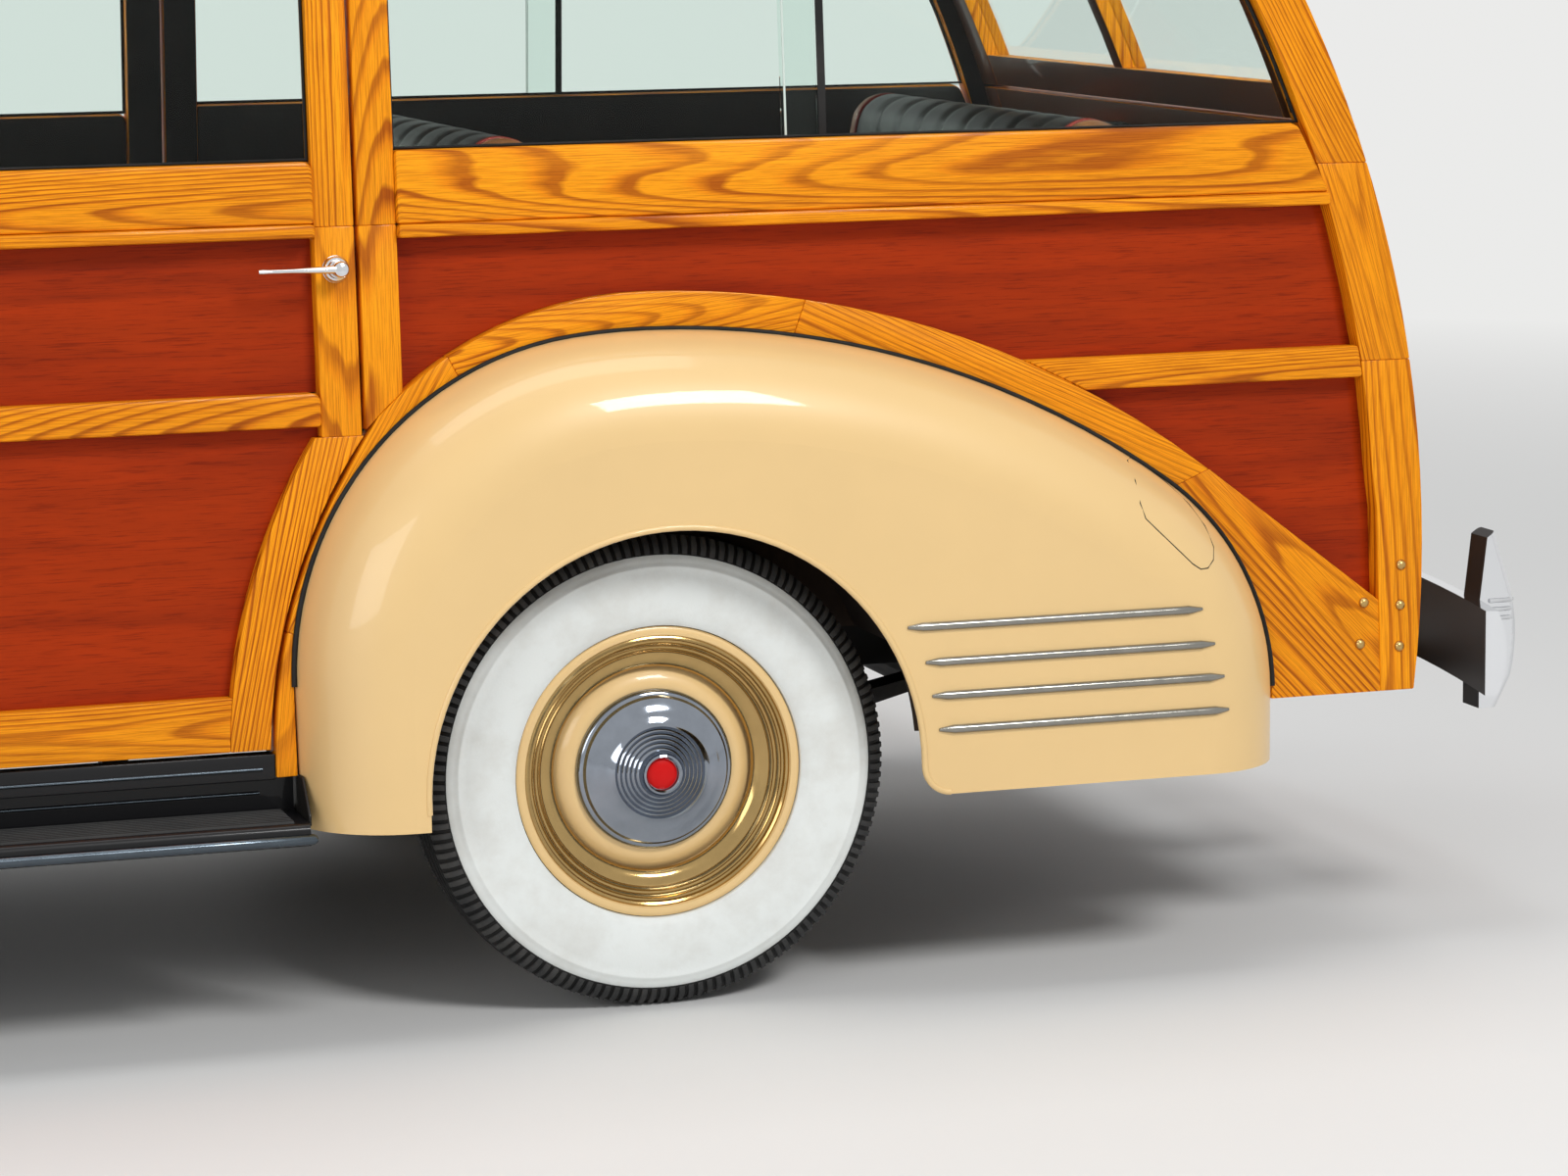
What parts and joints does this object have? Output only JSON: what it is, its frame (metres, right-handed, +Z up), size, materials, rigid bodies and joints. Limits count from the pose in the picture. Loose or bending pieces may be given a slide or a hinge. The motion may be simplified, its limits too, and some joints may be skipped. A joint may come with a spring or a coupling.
{
  "type": "wood-bodied station wagon",
  "caption": "Wood-bodied station wagon with rounded steel fenders, opening doors, two-piece tail, hinged hood and steerable front wheels",
  "frame": {"origin": "ground level under the middle of the car's overall box", "axes": "+X points to the rear, +Y to the car's right side, +Z up"},
  "size_m": [5.44, 1.916, 1.825],
  "materials": {
    "ash": "varnished pale hardwood framing",
    "mahogany": "varnished red-brown wood panels",
    "glass": "clear window glass",
    "body_paint": "gloss cream-yellow paint",
    "wheel_paint": "gloss cream-yellow paint",
    "roof_covering": "grained dark roof covering",
    "chrome": "polished",
    "black_paint": "semi-gloss black",
    "engine_iron": "painted casting",
    "seat_leather": "pleated, smooth",
    "tyre_rubber": "moulded rubber",
    "wheel_plastic": "smooth"
  },
  "bodies": {
    "car_body": {"side_frame_left": "ash", "side_frame_right": "ash", "quarter_panels": "mahogany", "quarter_glass": "glass", "fixed_hinges": "chrome", "rear_crossbars": "ash", "roof": "roof_covering", "cowl": "body_paint", "fenders": "body_paint", "windscreen_frame": "body_paint", "windscreen_glass": "glass", "grille_shell": "body_paint", "grille_bars": "chrome", "lamps": "chrome", "running_boards": "black_paint", "bumpers": "chrome", "chassis": "black_paint", "engine": "engine_iron", "rear_axle": "black_paint", "floor": "black_paint", "front_seat": "seat_leather", "second_seat": "seat_leather", "third_seat": "seat_leather", "spare_wheel": "tyre_rubber", "front_suspension": "black_paint"},
    "front_door_left": {"front_door_left_frame": "ash", "front_door_left_glass": "glass", "front_door_left_panels": "mahogany", "front_door_left_hardware": "chrome"},
    "front_left_wheel": {"front_wheel_left": "wheel_paint", "front_tyre_left": "tyre_rubber"},
    "front_door_right": {"front_door_right_frame": "ash", "front_door_right_glass": "glass", "front_door_right_panels": "mahogany", "front_door_right_hardware": "chrome"},
    "front_right_wheel": {"front_wheel_right": "wheel_paint", "front_tyre_right": "tyre_rubber"},
    "rear_door_left": {"rear_door_left_frame": "ash", "rear_door_left_glass": "glass", "rear_door_left_panels": "mahogany", "rear_door_left_hardware": "chrome"},
    "rear_left_wheel": {"rear_wheel_left": "wheel_paint", "rear_tyre_left": "tyre_rubber"},
    "rear_door_right": {"rear_door_right_frame": "ash", "rear_door_right_glass": "glass", "rear_door_right_panels": "mahogany", "rear_door_right_hardware": "chrome"},
    "rear_right_wheel": {"rear_wheel_right": "wheel_paint", "rear_tyre_right": "tyre_rubber"},
    "tailgate": {"tailgate_frame": "ash", "tailgate_panels": "mahogany", "tailgate_hardware": "chrome"},
    "liftgate": {"liftgate_frame": "ash", "liftgate_glass": "glass", "liftgate_hardware": "chrome"},
    "hood_panel": {"hood": "body_paint"},
    "left_knuckle": {"front_knuckle_left": "black_paint"},
    "right_knuckle": {"front_knuckle_right": "black_paint"},
    "steering": {"steering_wheel": "wheel_plastic"}
  },
  "joints": [
    {"name": "front_door_left_hinge", "type": "hinge", "parent": "car_body", "child": "front_door_left", "pos_m": [-0.86408, -0.78882, 0.80178], "axis": [-0.0029, -0.0697, -0.9976], "range_deg": [0, 65]},
    {"name": "front_door_right_hinge", "type": "hinge", "parent": "car_body", "child": "front_door_right", "pos_m": [-0.86408, 0.78882, 0.80178], "axis": [0.0029, -0.0697, 0.9976], "range_deg": [0, 65]},
    {"name": "rear_door_left_hinge", "type": "hinge", "parent": "car_body", "child": "rear_door_left", "pos_m": [-0.021, -0.82286, 0.80178], "axis": [0, -0.0698, -0.9976], "range_deg": [0, 65]},
    {"name": "rear_door_right_hinge", "type": "hinge", "parent": "car_body", "child": "rear_door_right", "pos_m": [-0.021, 0.82286, 0.80178], "axis": [0, -0.0698, 0.9976], "range_deg": [0, 65]},
    {"name": "tailgate_hinge", "type": "hinge", "parent": "car_body", "child": "tailgate", "pos_m": [2.50293, 0, 0.697], "axis": [0, 1, 0], "range_deg": [0, 90]},
    {"name": "liftgate_hinge", "type": "hinge", "parent": "car_body", "child": "liftgate", "pos_m": [2.23867, 0, 1.651], "axis": [0, -1, 0], "range_deg": [0, 65]},
    {"name": "hood_hinge", "type": "hinge", "parent": "car_body", "child": "hood_panel", "pos_m": [-1.116, 0, 1.233], "axis": [0, 1, 0], "range_deg": [0, 50]},
    {"name": "left_steer", "type": "hinge", "parent": "car_body", "child": "left_knuckle", "pos_m": [-1.85, -0.655, 0.36], "axis": [0, 0, 1], "range_deg": [-28, 28]},
    {"name": "right_steer", "type": "hinge", "parent": "car_body", "child": "right_knuckle", "pos_m": [-1.85, 0.655, 0.36], "axis": [0, 0, 1], "range_deg": [-28, 28]},
    {"name": "steering_wheel_turn", "type": "hinge", "parent": "car_body", "child": "steering", "pos_m": [-0.545, -0.37, 1.09], "axis": [0.788, 0, 0.6157], "range_deg": [-504, 504]},
    {"name": "front_left_wheel_spin", "type": "hinge", "parent": "left_knuckle", "child": "front_left_wheel", "pos_m": [-1.85, -0.77, 0.36], "axis": [0, 1, 0], "continuous": true},
    {"name": "front_right_wheel_spin", "type": "hinge", "parent": "right_knuckle", "child": "front_right_wheel", "pos_m": [-1.85, 0.77, 0.36], "axis": [0, 1, 0], "continuous": true},
    {"name": "rear_left_wheel_spin", "type": "hinge", "parent": "car_body", "child": "rear_left_wheel", "pos_m": [1.25, -0.77, 0.36], "axis": [0, 1, 0], "continuous": true},
    {"name": "rear_right_wheel_spin", "type": "hinge", "parent": "car_body", "child": "rear_right_wheel", "pos_m": [1.25, 0.77, 0.36], "axis": [0, 1, 0], "continuous": true}
  ],
  "couplings": [
    {"joint": "right_steer", "follows": "left_steer", "ratio": 1},
    {"joint": "steering_wheel_turn", "follows": "left_steer", "ratio": 18}
  ]
}
